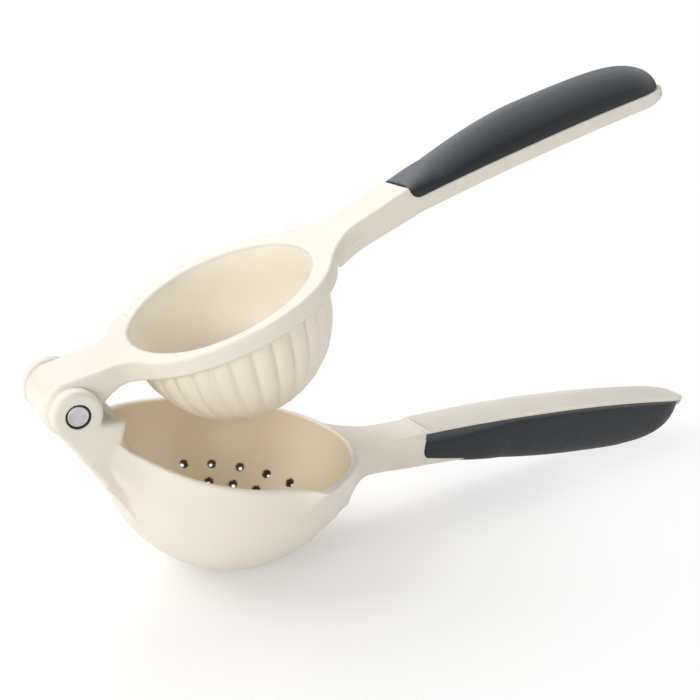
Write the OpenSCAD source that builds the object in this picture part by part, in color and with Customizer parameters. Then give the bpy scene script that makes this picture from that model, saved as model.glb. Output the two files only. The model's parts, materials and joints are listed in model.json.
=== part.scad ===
// Hinged lemon squeezer: a perforated bowl and a fluted press on two soft-grip handles.
// Millimetres. +X runs from the hinge to the handle ends and +Z is up. The origin is the
// middle of the bowl's foot, on the table that the squeezer rests on.
// Both halves are drawn in one level frame: its origin is the centre of the bowl's rim,
// and the two halves lie parallel in it. lower_frame() and upper_frame() place them.

/* [Bowl] */
// Inner diameter of the bowl at its rim
bowl_d = 70.8; // [66:0.2:84]
// Wall of the bowl
bowl_wall = 2.4; // [2:0.1:3.6]
// Rounding of the rim's edges
rim_round = 0.9; // [0.4:0.1:1]
// Depth cut off the round bottom to make the foot
foot_cut = 0.5; // [0.3:0.1:1.4]
// Diameter of a drain hole
drain_d = 3; // [2:0.1:3.6]
// Drain holes in each upper row, on the side away from the pouring lip
drain_row = 5; // [3:1:7]
// Drain holes in the ring around the foot
drain_ring = 8; // [5:1:10]
// Reach of the pouring lip past the rim
lip_reach = 5.6; // [3:0.1:6.5]
// Width of the pouring lip
lip_w = 11; // [7:0.5:14]
// Depth from the rim at which the bowl starts to flare into the pouring lip
lip_deep = 9; // [6:0.5:12]
// Wall of the pouring lip
lip_wall = 3.4; // [2.4:0.1:4]
// Direction of the pouring lip, seen from above
lip_turn = -76; // [-100:1:-50]
// Height to which the rim sweeps up at the wall by the hinge
rim_sweep = 4.5; // [2:0.1:6]

/* [Press] */
// Diameter of the press dome over its ribs
dome_d = 57.8; // [50:0.2:60]
// Number of ribs around the dome
rib_count = 30; // [20:1:36]
// Depth of the creases between the ribs
rib_depth = 1.3; // [0.6:0.1:1.8]
// Turn of each crease from the ring to the bottom
rib_twist = -15; // [-30:1:30]
// Wall of the dome under the creases
dome_wall = 1.6; // [1.2:0.1:2.4]
// Distance of the dome's centre under the ring
dome_drop = 2.8; // [0.5:0.1:4]
// Width of the ring around the dome
ring_w = 4.6; // [3.5:0.1:7]
// Thickness of the ring
ring_t = 5; // [4:0.1:8]
// Rounding of the ring's edges
ring_round = 1.2; // [0.5:0.1:1.8]
// Thickness of the lip over the dome's collar
ring_lip_t = 1.4; // [1:0.1:2]
// Height of the ring's top over the bowl's rim with the halves parallel
ring_lift = 15.4; // [13:0.1:20]

/* [Hinge] */
// Distance of the hinge axis behind the bowl's centre
hinge_back = 50; // [48:0.5:58]
// Height of the hinge axis over the rim
hinge_up = 12.7; // [11:0.1:16]
// Width over both ears
hinge_w = 29.4; // [26:0.1:36]
// Thickness of an ear
ear_t = 3.6; // [3:0.1:5]
// Radius of an ear
ear_r = 7.2; // [6.5:0.1:9]
// Radius of the barrel between the ears
barrel_r = 7.6; // [7:0.1:9]
// Thickness of a thrust washer
washer_t = 0.8; // [0.5:0.1:1.2]
// Height of the wall between the ears over the rim
guard_h = 10.6; // [5:0.2:10.6]
// Thickness of the wall between the ears
guard_t = 2.7; // [2:0.1:3]
// Slope at which the cheeks below the ears draw in towards the bowl, in degrees
cheek_taper = 9; // [0:1:10]
// Diameter of the hinge pin
pin_d = 4.4; // [3.5:0.1:5]
// Diameter of the pin's head and of its cap
pin_head_d = 5.4; // [5.2:0.1:6]
// Thickness of the pin's head and of its cap
pin_head_t = 1.2; // [0.8:0.1:1.6]
// Depth of the pin's ends below the faces of the ears
pin_recess = 0.3; // [0.1:0.1:0.6]
// Outer diameter of the bushes
bush_d = 6.4; // [6.2:0.1:7.4]
// Opening angle at rest
open_angle = 33.3; // [10:0.1:100]
// Opening angle with the handles closed
closed_angle = 4.6; // [4.6:0.1:8]
// Opening angle at the open stop
stop_angle = 108; // [102:1:115]

/* [Handles] */
// Width of a neck
neck_w = 14.4; // [11:0.1:16]
// Width of a handle at its widest
handle_w = 16.6; // [15:0.1:22]
// Radius of the long bend along the lower handle
lower_bend_r = 730; // [600:10:1200]
// Radius of the long bend along the upper handle
upper_bend_r = 1050; // [800:10:1400]
// Radius of the fillets where the necks leave the ring and the rim
root_r = 20; // [8:1:24]
// Radius of the fillets where the arm leaves the ring
arm_root = 4; // [2:0.5:16]
// Length of the rounding at the end of a handle
end_round = 13; // [8:0.5:16]
// Start of the lower cover and grip, from the bowl's centre
lower_start = 65.5; // [62:0.5:74]
// End of the lower handle, from the bowl's centre
lower_end = 188; // [160:1:230]
// Height of the lower seam at its start, over the rim
lower_seam_z = 1.1; // [-1:0.1:1.5]
// Slope of the lower seam at its start, in degrees
lower_slope = 9.2; // [6:0.1:10]
// Crown of the lower handle's cover over its seam
cover_crown = 0.8; // [0.6:0.1:1.2]
// Depth of the tongue with which the cover lies in the bar under it
cover_tongue = 1.4; // [1:0.1:2]
// Depth of the lower neck
lower_neck_h = 11.2; // [8:0.1:14]
// Depth of the gusset between the bowl and the lower neck's underside
gusset_h = 14.3; // [8:0.5:18]
// Start of the upper grip, from the bowl's centre
upper_start = 63; // [58:0.5:70]
// End of the upper handle, from the bowl's centre
upper_end = 167.5; // [150:0.5:200]
// Slope of the upper handle at its start, in degrees
upper_slope = -4; // [-5:0.1:-3.5]
// Thickness of the upper handle's bar
bar_t = 4.8; // [4:0.1:6]
// Depth of the upper neck
upper_neck_h = 7.7; // [6:0.1:9]
// Length over which a handle widens from its neck
widen_l = 45; // [30:1:60]

/* [Grips] */
// Depth of the lower grip at its fullest
lower_grip_h = 19.2; // [14:0.1:20]
// Depth of the lower grip at its start
lower_grip_h0 = 9.2; // [6:0.1:10]
// Height of the upper grip at its fullest
upper_grip_h = 12.1; // [8:0.1:14]
// Height of the upper grip at its start
upper_grip_h0 = 4.8; // [3:0.1:6]
// How much shorter than its handle a grip is
grip_short = 2.5; // [1.5:0.5:8]
// Width of the bars inside the grips
core_w = 8; // [6:0.5:10]
// How much shorter than its grip a bar is
core_short = 14; // [10:0.5:18]
// Width of the upper handle's inner cover
inset_w = 10; // [9:0.5:12]
// Thickness of the upper handle's inner cover
inset_t = 1.5; // [1.2:0.1:1.8]
// Start of the upper handle's inner cover, from the start of its grip
inset_start = 8; // [5:0.5:9]
// How much shorter than its handle the inner cover is
inset_short = 20; // [16:0.5:21]
// Distance of a cover's first peg from the start of its grip
peg_first = 13; // [11:0.5:16]
// Distance between pegs
peg_step = 25; // [16:0.5:25]
// Diameter of the covers' pegs
peg_d = 3; // [2:0.1:3.6]
// Length of the covers' pegs
peg_h = 3.2; // [2.4:0.1:3.4]

/* [Fits] */
// Radial clearance of the turning barrel on its pin
run_gap = 0.05; // [0.03:0.01:0.09]
// Side play of a washer
side_gap = 0.1; // [0.05:0.01:0.2]
// Clearance around pegs and set-in pieces
seat_gap = 0.05; // [0.02:0.01:0.1]
// Gap along the seam between a grip and what it lies on
seam_gap = 0.03; // [0.02:0.01:0.1]

/* [Hidden] */
$fn = 64;

cream = "#F1EADA";
cream_press = "#EFE6D3";
slate = "#3A4046";
black = "#1C1C1E";
acetal = "#E9E4D8";
steel = "#B9BCC0";

far = 400;                     // longer than the whole object, for cutting shapes
bowl_r = bowl_d / 2;
bowl_out = bowl_r + bowl_wall;
foot_depth = bowl_out - foot_cut;
hinge = [-hinge_back, 0, hinge_up];
dome_r = dome_d / 2;
dome_in = dome_r - rib_depth - dome_wall;
dome_z = ring_lift - ring_t - dome_drop;
ring_in = dome_r - 1.6;
ring_out = dome_r + ring_w;
ring_low = ring_lift - ring_t;
ear_in = hinge_w / 2 - ear_t;
barrel_half = ear_in - washer_t - side_gap;
washer_inset = 0.7;            // how much smaller than an ear a washer is, in radius
washer_r = ear_r - washer_inset;
guard_x = -bowl_out + 0.3;     // the wall's inner face, over the back of the rim
slot_r = (barrel_r + bush_d / 2) / 2 + 0.2;
slot_half = 3.2;
lug_turn = -46;
lug_t = 3;

// Drain holes: angle from the bowl's axis, middle of the row, number of holes, step.
// The last row leaves the foot whole.
drain_rows = [[55.3, 55, drain_row, 18], [45.7, 57, drain_row, 17.5], [35.5, 58, drain_row, 24],
    [24, 0, drain_ring, 360 / drain_ring], [11, 180, 3, 90]];

// Height of a seam that leaves its start at a slope and bends down along the handle.
function bent(x, start, z, slope, bend) =
    z + tan(slope) * (x - start) - (x - start) * (x - start) / (2 * bend);
function lower_seam(x) = bent(x, lower_start, lower_seam_z, lower_slope, lower_bend_r);
upper_bar_z = ring_lift - upper_neck_h - 0.2;
function upper_bar(x) = bent(x, upper_start, upper_bar_z, upper_slope, upper_bend_r);
function upper_seam(x) = upper_bar(x) + bar_t;

// Depth of a grip: it swells from its start to a peak and closes round at its end.
// rise and close are the powers of the two curves.
function swell(x, start, peak, end, h0, h, rise, close) = x < peak
    ? h - (h - h0) * pow((peak - x) / (peak - start), rise)
    : h * sqrt(max(0, 1 - pow((x - peak) / (end - peak), close)));
lower_grip_end = lower_end - grip_short;
lower_peak = lower_start + 0.59 * (lower_grip_end - lower_start);
function lower_grip_depth(x) =
    swell(x, lower_start, lower_peak, lower_grip_end, lower_grip_h0, lower_grip_h, 2, 3.3);
upper_grip_end = upper_end - grip_short;
upper_peak = upper_start + 0.47 * (upper_grip_end - upper_start);
function upper_grip_height(x) =
    swell(x, upper_start, upper_peak, upper_grip_end, upper_grip_h0, upper_grip_h, 1.7, 5.5);

// Power of the upper grip's cross-section: square like the neck at first, then round.
square_l = 30;
function upper_power(x) = 2.5 + 3.5 * max(0, 1 - (x - upper_start) / square_l);

// Half the width of a handle: it widens from its neck and ends in half an ellipse.
function half_width(x, start, end) =
    (neck_w + (handle_w - neck_w) * min(1, max(0, (x - start) / widen_l))) / 2
    * (x > end - end_round ? sqrt(max(0.0004, 1 - pow((x - end + end_round) / end_round, 2))) : 1);

// Share of its full width that a handle has: it thins with this towards its round end.
function fullness(x, start, end) = half_width(x, start, end) / (handle_w / 2);

// Places along a handle: even steps, then finer ones into the round end.
function stations(start, end, n) = concat(
    [for (i = [0:n - 1]) start + (end - end_round - start) * i / n],
    [for (i = [0:6]) end - end_round + end_round * sin(90 * i / 6) * 0.999]);

// Tilt at which the bowl's foot and the lowest place of the lower grip share the table.
lower_bottoms = [for (x = stations(lower_start, lower_grip_end, 40))
    [x, lower_seam(x) - lower_grip_depth(x)]];
rest_tilt = min([for (p = lower_bottoms) asin(foot_depth / norm(p)) + atan2(p[1], p[0])]);

// One half-round cross-section: flat at z, and h high towards its round side.
function d_section(x, w, z, h, power, n = 24) =
    let (arc = [for (i = [0:n]) let (t = 180 * i / n)
        [x, w * sign(cos(t)) * pow(abs(cos(t)), 2 / power), z + h * pow(sin(t), 2 / power)]])
    h > 0 ? arc : [for (i = [n:-1:0]) arc[i]];

// The solid through a list of cross-sections with equal numbers of points.
module loft(sections) {
    m = len(sections[0]);
    last = len(sections) - 1;
    polyhedron(
        points = [for (s = sections) each s],
        faces = concat(
            [[for (i = [0:m - 1]) i]],
            [for (k = [0:last - 1], i = [0:m - 1])
                let (j = (i + 1) % m) [k * m + i, (k + 1) * m + i, (k + 1) * m + j]],
            [for (k = [0:last - 1], i = [0:m - 1])
                let (j = (i + 1) % m) [k * m + i, (k + 1) * m + j, k * m + j]],
            [[for (i = [m - 1:-1:0]) last * m + i]]));
}

// A side view in X and Z, extruded evenly to both sides of the middle plane.
module side_slab(width) {
    translate([0, width / 2, 0]) rotate([90, 0, 0]) linear_extrude(width) children();
}

module lower_frame() {
    translate([0, 0, foot_depth]) rotate([0, rest_tilt, 0]) children();
}

module upper_frame() {
    lower_frame() translate(hinge) rotate([0, -open_angle, 0]) translate(-hinge) children();
}

// A cylinder along the hinge axis, from y0 to y1.
module on_axis(r, y0, y1) {
    translate([hinge[0], y1, hinge[2]]) rotate([90, 0, 0]) cylinder(r = r, h = y1 - y0);
}

// Plan of a neck or arm along +X: it leaves a round rim of radius r through two fillets.
module neck_plan(half, r, fillet, end) {
    along = sqrt(pow(r + fillet, 2) - pow(half + fillet, 2));
    root = [along, half + fillet] * r / (r + fillet);
    difference() {
        union() {
            translate([0, -half]) square([end, 2 * half]);
            polygon([[0, 0], [root[0], -root[1]], [along, -half], [along, half], root]);
        }
        for (side = [-1, 1])
            translate([along, side * (half + fillet)]) circle(r = fillet, $fn = 96);
    }
}

// Fillet radius with which a neck or arm is straight again at a distance along it.
function fillet_to(half, r, along) = (along * along - r * r + half * half) / (2 * (r - half));

// A neck or arm: its plan and its side view, crossed.
module crossed(half, r, fillet, end) {
    intersection() {
        translate([0, 0, -far / 2]) linear_extrude(far) neck_plan(half, r, fillet, end);
        side_slab(far) children();
    }
}

module table() {
    translate([-far, -far, -far]) cube([2 * far, 2 * far, far]);
}

// ---- Lower half ----

// Half cross-section of the bowl, from its axis outwards.
module bowl_profile() {
    intersection() {
        difference() {
            circle(r = bowl_out, $fn = 128);
            circle(r = bowl_r, $fn = 128);
        }
        translate([0, -bowl_out - 1]) square([bowl_out + 1, bowl_out + 1 - rim_round]);
    }
    translate([bowl_r + rim_round, -rim_round]) circle(r = rim_round, $fn = 32);
    translate([bowl_out - rim_round, -rim_round]) circle(r = rim_round, $fn = 32);
    translate([bowl_r + rim_round, -2 * rim_round])
        square([bowl_wall - 2 * rim_round, 2 * rim_round]);
}

module bowl_hollow() {
    sphere(r = bowl_r, $fn = 128);
    cylinder(r = bowl_r, h = far, $fn = 128);
}

module drain_holes() {
    for (row = drain_rows, i = [0:row[2] - 1])
        rotate([0, 180 - row[0], row[1] + row[3] * (i - (row[2] - 1) / 2)])
            translate([0, 0, bowl_r - 4]) cylinder(d = drain_d, h = 10, $fn = 24);
}

// Side view of a cheek: the round ear and the plate that runs down from it to the bowl.
module cheek_profile() {
    foot_r = sqrt(pow(bowl_out, 2) - pow(hinge_w / 2, 2));
    turn = atan2(hinge[2], hinge[0]) + acos((foot_r - ear_r) / norm(hinge));
    n = [cos(turn), sin(turn)];
    h2 = [hinge[0], hinge[2]];
    translate(h2) circle(r = ear_r);
    polygon([h2 + ear_r * n, foot_r * n, [0, 0], [guard_x, 0], [guard_x, guard_h],
        [hinge[0] + ear_r * 0.7, guard_h], h2]);
}

// The two cheeks and the wall between them, drawn in on the outside towards the bowl.
module cheeks() {
    difference() {
        union() {
            for (y = [-hinge_w / 2, ear_in])
                translate([0, y + ear_t, 0]) rotate([90, 0, 0]) linear_extrude(ear_t)
                    cheek_profile();
            translate([guard_x - guard_t, -hinge_w / 2, -guard_h])
                cube([guard_t, hinge_w, 2 * guard_h]);
            translate([guard_x - guard_t, -hinge_w / 2, -guard_t])
                cube([guard_t + 6, hinge_w, guard_t]);
        }
        for (side = [-1, 1])
            translate([hinge[0] + bush_d / 2 + 1, side * hinge_w / 2, -far / 2])
                rotate([0, 0, -side * cheek_taper])
                    translate([0, side > 0 ? 0 : -far, 0]) cube([far, far, far]);
    }
}

// Lug that runs in the barrel's slot and stops it at both ends.
module stop_lug() {
    reach = (guard_x - hinge[0] - guard_t / 2) / cos(lug_turn);
    translate(hinge) rotate([0, -lug_turn, 0])
        translate([slot_r + 0.3, -slot_half + 0.2, -lug_t / 2])
            cube([reach - slot_r, 2 * slot_half - 0.4, lug_t]);
}

// The flare of the bowl into the lip, within a strip with a round end: its outer face,
// or its inner face where it is given the lip's wall.
module lip_flare(wall, top) {
    reach = bowl_out + lip_reach - wall;
    half = (lip_w - wall) / 2;
    rotate([0, 0, lip_turn]) intersection() {
        rotate_extrude($fn = 128)
            polygon([[0, top], [reach, top], [reach, -rim_round],
                [bowl_out - 1 - wall, -lip_deep], [0, -lip_deep]]);
        translate([0, 0, -far / 2]) union() {
            translate([reach - half, 0, 0]) cylinder(r = half, h = far);
            translate([0, -half, 0]) cube([reach - half, 2 * half, far]);
        }
    }
}

// The rim's sweep up to the wall by the hinge.
module rim_rise() {
    intersection() {
        translate([0, 0, -2 * rim_round]) cylinder(r = bowl_out, h = far, $fn = 128);
        side_slab(far) polygon(concat([[0, -2 * rim_round], [0, -rim_round]],
            [for (i = [1:12]) let (x = -guard_x * i / 12)
                [-x, rim_sweep * pow(i / 12, 3) - rim_round]],
            [[guard_x, -2 * rim_round]]));
    }
}

lower_neck_end = lower_start + 22;     // the neck's underside runs out under the grip

// The gusset's lower end lies just inside the bowl's outer face.
gusset_foot = sqrt(pow(bowl_out, 2) - pow(lower_neck_h + gusset_h, 2)) - 0.5;

// Side view of the neck down to a depth under the rim: its top meets the rim and the cover.
module lower_neck_side(deep) {
    low = -lower_neck_h;
    polygon([[bowl_r - 6, -rim_round], [bowl_out, -0.6], [lower_start - 15, -0.6],
        [lower_start, lower_seam_z + 0.6 * cover_crown], [lower_start, low + 1.3],
        [lower_start - 15, low + 0.2], [bowl_out + 9, low - 0.5],
        [bowl_out + 4, max(-deep, low - 2.2)], [bowl_out + 0.4, max(-deep, low - 0.56 * gusset_h)],
        [gusset_foot, max(-deep, low - gusset_h)], [gusset_foot, -rim_round]]);
}

// Side view of the bar inside the lower grip.
lower_tip = lower_grip_end - core_short;
lower_steps = [for (i = [0:8]) lower_start + (lower_tip - lower_start) * i / 8];
module lower_core_side() {
    polygon(concat([[lower_start - 1, lower_seam(lower_start) - cover_tongue]],
        [for (x = lower_steps) [x, lower_seam(x) - cover_tongue]],
        [for (i = [8:-1:0]) let (x = lower_steps[i]) [x, lower_seam(x) - 0.5 * lower_grip_depth(x)]],
        [[lower_start - 1, lower_seam(lower_start) - 0.5 * lower_grip_h0]]));
}

// Side view of the tongue under the cover, which lies on the bar with a gap.
module cover_tongue_side(gap) {
    polygon(concat([for (x = lower_steps) [x, lower_seam(x) + 0.1]],
        [for (i = [8:-1:0]) [lower_steps[i], lower_seam(lower_steps[i]) - cover_tongue + gap]]));
}

module lower_tail_side() {
    polygon([[lower_start - 1, lower_seam(lower_start) - cover_tongue],
        [lower_start - 1, 1.3 - lower_neck_h],
        [lower_neck_end, lower_seam(lower_neck_end) - lower_grip_depth(lower_neck_end) + 2.4],
        [lower_neck_end, lower_seam(lower_neck_end) - 4]]);
}

module lower_core() {
    side_slab(core_w) lower_core_side();
    side_slab(neck_w - 1.6) lower_tail_side();
}

// The covers' pegs: even places along a handle, at the height of its seam.
module pegs(start, up, gap = 0) {
    for (i = [0:2]) {
        x = start + peg_first + peg_step * i;
        z = up ? upper_bar(x) + inset_t : lower_seam(x) - cover_tongue;
        translate([x, 0, up ? z - 0.3 : z - peg_h - gap])
            cylinder(d = peg_d + 2 * gap, h = peg_h + gap + 0.5, $fn = 24);
    }
}

module lower_pegs(gap = 0) {
    pegs(lower_start, false, gap);
}

module lower_body() {
    color(cream) difference() {
        lower_frame() difference() {
            union() {
                rotate_extrude($fn = 128) bowl_profile();
                cheeks();
                stop_lug();
                rim_rise();
                lip_flare(0, -rim_round / 2);
                crossed(neck_w / 2, bowl_out, root_r, lower_start)
                    lower_neck_side(lower_neck_h * 0.6);
                crossed(neck_w / 2, gusset_foot, root_r / 3, lower_start)
                    lower_neck_side(lower_neck_h + gusset_h);
                lower_core();
            }
            bowl_hollow();
            lip_flare(lip_wall, 1);
            drain_holes();
            on_axis(bush_d / 2, -hinge_w, hinge_w);
            lower_pegs(seat_gap);
        }
        table();
    }
}

module lower_handle_cover() {
    color(cream) lower_frame() {
        loft([for (x = stations(lower_start, lower_end, 20))
            d_section(x, half_width(x, lower_start, lower_end), lower_seam(x),
                cover_crown * (0.25 + 0.75 * fullness(x, lower_start, lower_end)), 3)]);
        side_slab(core_w) cover_tongue_side(seat_gap);
        lower_pegs();
    }
}

module lower_grip() {
    color(slate) lower_frame() difference() {
        loft([for (x = stations(lower_start, lower_grip_end, 24))
            d_section(x, half_width(x, lower_start, lower_grip_end), lower_seam(x) - seam_gap,
                seam_gap - max(0.4, lower_grip_depth(x)), 2.7)]);
        lower_core();
        side_slab(core_w) cover_tongue_side(0);
    }
}

// ---- Upper half ----

module ring_profile() {
    inner = ring_in;
    translate([inner + ring_round / 2, ring_lift - ring_round / 2])
        circle(r = ring_round / 2, $fn = 32);
    translate([inner, ring_lift - ring_lip_t]) square([ring_w, ring_lip_t - ring_round / 2]);
    translate([inner + ring_round / 2, ring_lift - ring_round])
        square([ring_out - inner - 1.5 * ring_round, ring_round]);
    translate([ring_out - ring_round, ring_lift - ring_round]) circle(r = ring_round, $fn = 32);
    translate([dome_r, ring_low]) square([ring_w - ring_round, ring_t - ring_round]);
    translate([dome_r + 1, ring_low + ring_round])
        square([ring_w - 1, ring_t - 2 * ring_round]);
    translate([ring_out - ring_round, ring_low + ring_round]) circle(r = ring_round, $fn = 32);
}

// The arm's fillets end beside the washers, where they are too shallow to touch them.
arm_root_r = min(arm_root, fillet_to(barrel_half, ring_out, hinge_back - washer_r + washer_inset));

// Side view of the arm: straight on top, arched below between the ring and the barrel.
// It is drawn along +X, as the arm's plan is, and turned round to the hinge.
module arm_side() {
    arch = [hinge_back - 13.8, hinge_up - 12.7];
    difference() {
        polygon([[hinge_back, hinge_up + barrel_r], [dome_r - 8, ring_lift],
            [dome_r - 8, ring_low], [dome_r, ring_low], [hinge_back - 10, hinge_up - 8],
            [hinge_back, hinge_up - barrel_r + 1]]);
        translate(arch) circle(r = norm([13.8, 12.7]) - barrel_r + 0.3);
    }
}

// Side view of the upper neck: its underside drops a little towards the ring.
module upper_neck_side() {
    low = upper_bar(upper_start);
    polygon([[dome_r - 8, ring_lift], [ring_out + 4, ring_lift], [upper_start, ring_lift + 1.1],
        [upper_start, low], [ring_out + 10, low - 0.2], [ring_out + 2, low - 0.9],
        [ring_out - 1, low - 1.1], [dome_r, ring_low], [dome_r - 8, ring_low]]);
}

// Side view of the bar that stands up inside the upper grip.
module upper_core_side() {
    tip = upper_grip_end - core_short;
    steps = [for (i = [0:8]) upper_start - 1 + (tip - upper_start + 1) * i / 8];
    polygon(concat([for (x = steps) [x, upper_seam(x) - 1]],
        [for (i = [8:-1:0]) [steps[i], upper_seam(steps[i]) + 0.5 * upper_grip_height(
            min(tip, max(upper_start, steps[i])))]]));
}

// The strip that the upper handle's inner cover fills, in side view.
module inset_side(deep) {
    x0 = upper_start + inset_start;
    x1 = upper_end - inset_short;
    steps = [for (i = [0:12]) x0 - deep + (x1 - x0 + 2 * deep) * i / 12];
    polygon(concat([for (x = steps) [x, upper_bar(x) + inset_t + deep]],
        [for (i = [12:-1:0]) [steps[i], upper_bar(steps[i]) - (deep > 0 ? 2 : 0)]]));
}

module upper_pegs(gap = 0) {
    pegs(upper_start, true, gap);
}

// Slot in the barrel for the stop lug.
module stop_slot() {
    lug_half = asin(lug_t / 2 / slot_r) + 1.5;
    from = lug_turn - stop_angle - lug_half;
    to = lug_turn - closed_angle + lug_half;
    translate(hinge) rotate([90, 0, 0]) rotate([0, 0, from])
        rotate_extrude(angle = to - from)
            translate([slot_r, -slot_half]) square([barrel_r - slot_r + 1, 2 * slot_half]);
}

module upper_body() {
    color(cream) upper_frame() difference() {
        union() {
            difference() {
                union() {
                    rotate_extrude($fn = 128) ring_profile();
                    rotate([0, 0, 180]) crossed(barrel_half, ring_out, arm_root_r, hinge_back)
                        arm_side();
                    crossed(neck_w / 2, ring_out, root_r, upper_start) upper_neck_side();
                }
                translate([0, 0, -far / 2]) cylinder(r = ring_in, h = far, $fn = 128);
                translate([0, 0, -far + ring_lift - ring_lip_t])
                    cylinder(r = dome_r, h = far, $fn = 128);
            }
            on_axis(barrel_r, -barrel_half, barrel_half);
            loft([for (x = stations(upper_start, upper_end, 20))
                d_section(x, half_width(x, upper_start, upper_end), upper_seam(x),
                    -bar_t * (x < upper_end - end_round ? 1
                        : 0.4 + 0.6 * fullness(x, upper_start, upper_end)), 6)]);
            side_slab(core_w) upper_core_side();
        }
        on_axis(bush_d / 2, -hinge_w, hinge_w);
        stop_slot();
        side_slab(inset_w + 2 * seat_gap) inset_side(seat_gap);
        upper_pegs(seat_gap);
    }
}

module upper_handle_cover() {
    color(cream) upper_frame() {
        side_slab(inset_w) inset_side(0);
        upper_pegs();
    }
}

module upper_grip() {
    color(slate) upper_frame() difference() {
        loft([for (x = stations(upper_start, upper_grip_end, 24))
            d_section(x, half_width(x, upper_start, upper_grip_end), upper_seam(x) + seam_gap,
                max(0.4, upper_grip_height(x)) - seam_gap, upper_power(x))]);
        side_slab(core_w) upper_core_side();
    }
}

// Radius factor of the ribbed dome: round ribs that meet in sharp creases.
rib_steps = 6;
function rib_cut(turn, fade) =
    let (u = turn * rib_count / 360, s = abs(u - floor(u) - 0.5) * 2)
    rib_depth * fade * pow(s, 2.2);

// One ring of the dome at an angle under its equator; flat rings above it make the collar.
function dome_ring(down, r, ribs) = let (n = rib_count * rib_steps)
    [for (i = [0:n - 1]) let (turn = 360 * i / n, fade = ribs * pow(cos(down), 0.5))
        let (rr = (r - rib_cut(turn, fade)) * cos(down), t = turn + rib_twist * down / 90)
        [rr * cos(t), rr * sin(t), dome_z - r * sin(down)]];
function collar_ring(r, z) = let (n = rib_count * rib_steps)
    [for (i = [0:n - 1]) [r * cos(360 * i / n), r * sin(360 * i / n), z]];

// The ribs start above the equator, just under the ring.
module press_dome() {
    top = ring_lift - ring_lip_t - seat_gap;
    rise = 0.85 * asin(dome_drop / dome_r);
    downs = [for (i = [0:11]) 87 * sin(90 * i / 11)];
    ribbed = [for (i = [0:12]) (87 + rise) * sin(90 * i / 12) - rise];
    color(cream_press) upper_frame() loft(concat(
        [for (i = [11:-1:0]) dome_ring(downs[i], dome_in, 0)],
        [collar_ring(ring_in, top), collar_ring(dome_r - seat_gap, top),
            collar_ring(dome_r - seat_gap, ring_low)],
        [for (d = ribbed) dome_ring(d, dome_r - seat_gap, 1)]));
}

// ---- Hinge ----

pin_end = hinge_w / 2 - pin_recess;
tenon_r = pin_d * 0.3;

module hinge_pin() {
    color(steel) lower_frame() {
        on_axis(pin_head_d / 2, -pin_end, -pin_end + pin_head_t);
        on_axis(pin_d / 2, -pin_end + pin_head_t / 2, pin_end - pin_head_t);
        on_axis(tenon_r, 0, pin_end - 0.2);
    }
}

module pin_cap() {
    color(steel) lower_frame() difference() {
        on_axis(pin_head_d / 2, pin_end - pin_head_t, pin_end);
        on_axis(tenon_r, 0, pin_end - 0.2);
    }
}

// A bush in an ear, with a mouth for the pin's head or cap.
module ear_bush(side) {
    color(black) lower_frame() mirror([0, side > 0 ? 0 : 1, 0]) difference() {
        on_axis(bush_d / 2, ear_in, hinge_w / 2);
        on_axis(pin_d / 2, 0, hinge_w);
        on_axis(pin_head_d / 2, pin_end - pin_head_t, hinge_w);
    }
}

module near_ear_bush() {
    ear_bush(-1);
}

module far_ear_bush() {
    ear_bush(1);
}

module barrel_bush() {
    color(black) upper_frame() difference() {
        on_axis(bush_d / 2, -barrel_half, barrel_half);
        on_axis(pin_d / 2 + run_gap, -hinge_w, hinge_w);
    }
}

module thrust_washer(side) {
    color(acetal) lower_frame() mirror([0, side > 0 ? 0 : 1, 0]) difference() {
        on_axis(washer_r, ear_in - washer_t, ear_in);
        on_axis(pin_d / 2 + run_gap, 0, hinge_w);
    }
}

module near_thrust_washer() {
    thrust_washer(-1);
}

module far_thrust_washer() {
    thrust_washer(1);
}

lower_body();
lower_handle_cover();
lower_grip();
upper_body();
press_dome();
upper_handle_cover();
upper_grip();
hinge_pin();
pin_cap();
near_ear_bush();
far_ear_bush();
barrel_bush();
near_thrust_washer();
far_thrust_washer();
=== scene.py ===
"""Looks of the hinged lemon squeezer: meshes, materials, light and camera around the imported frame.

The two plastic mouldings are signed distance fields in millimetres, meshed by surface nets.
Both halves are described in one level frame, whose origin is the centre of the bowl's rim, with
+X towards the handle ends. The hinge in the frame gives the two tilts that place them.
"""
import json
import math

import bpy
import numpy as np
from mathutils import Matrix, Vector

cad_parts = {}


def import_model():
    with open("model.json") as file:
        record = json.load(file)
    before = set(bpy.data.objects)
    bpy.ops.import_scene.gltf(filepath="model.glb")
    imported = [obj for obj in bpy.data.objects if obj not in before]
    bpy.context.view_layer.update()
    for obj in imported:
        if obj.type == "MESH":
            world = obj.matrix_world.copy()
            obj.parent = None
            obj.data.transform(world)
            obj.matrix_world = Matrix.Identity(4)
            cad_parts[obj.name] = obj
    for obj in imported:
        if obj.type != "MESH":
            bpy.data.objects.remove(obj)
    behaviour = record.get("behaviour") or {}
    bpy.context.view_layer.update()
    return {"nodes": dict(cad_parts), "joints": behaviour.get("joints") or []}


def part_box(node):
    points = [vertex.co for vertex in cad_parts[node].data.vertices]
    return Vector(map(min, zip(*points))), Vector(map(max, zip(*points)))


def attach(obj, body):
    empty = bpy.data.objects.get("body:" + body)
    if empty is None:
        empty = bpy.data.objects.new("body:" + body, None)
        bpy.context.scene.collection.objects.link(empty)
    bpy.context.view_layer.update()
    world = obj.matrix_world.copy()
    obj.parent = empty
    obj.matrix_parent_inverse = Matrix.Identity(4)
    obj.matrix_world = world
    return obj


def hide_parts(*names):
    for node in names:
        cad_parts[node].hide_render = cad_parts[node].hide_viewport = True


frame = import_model()

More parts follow.
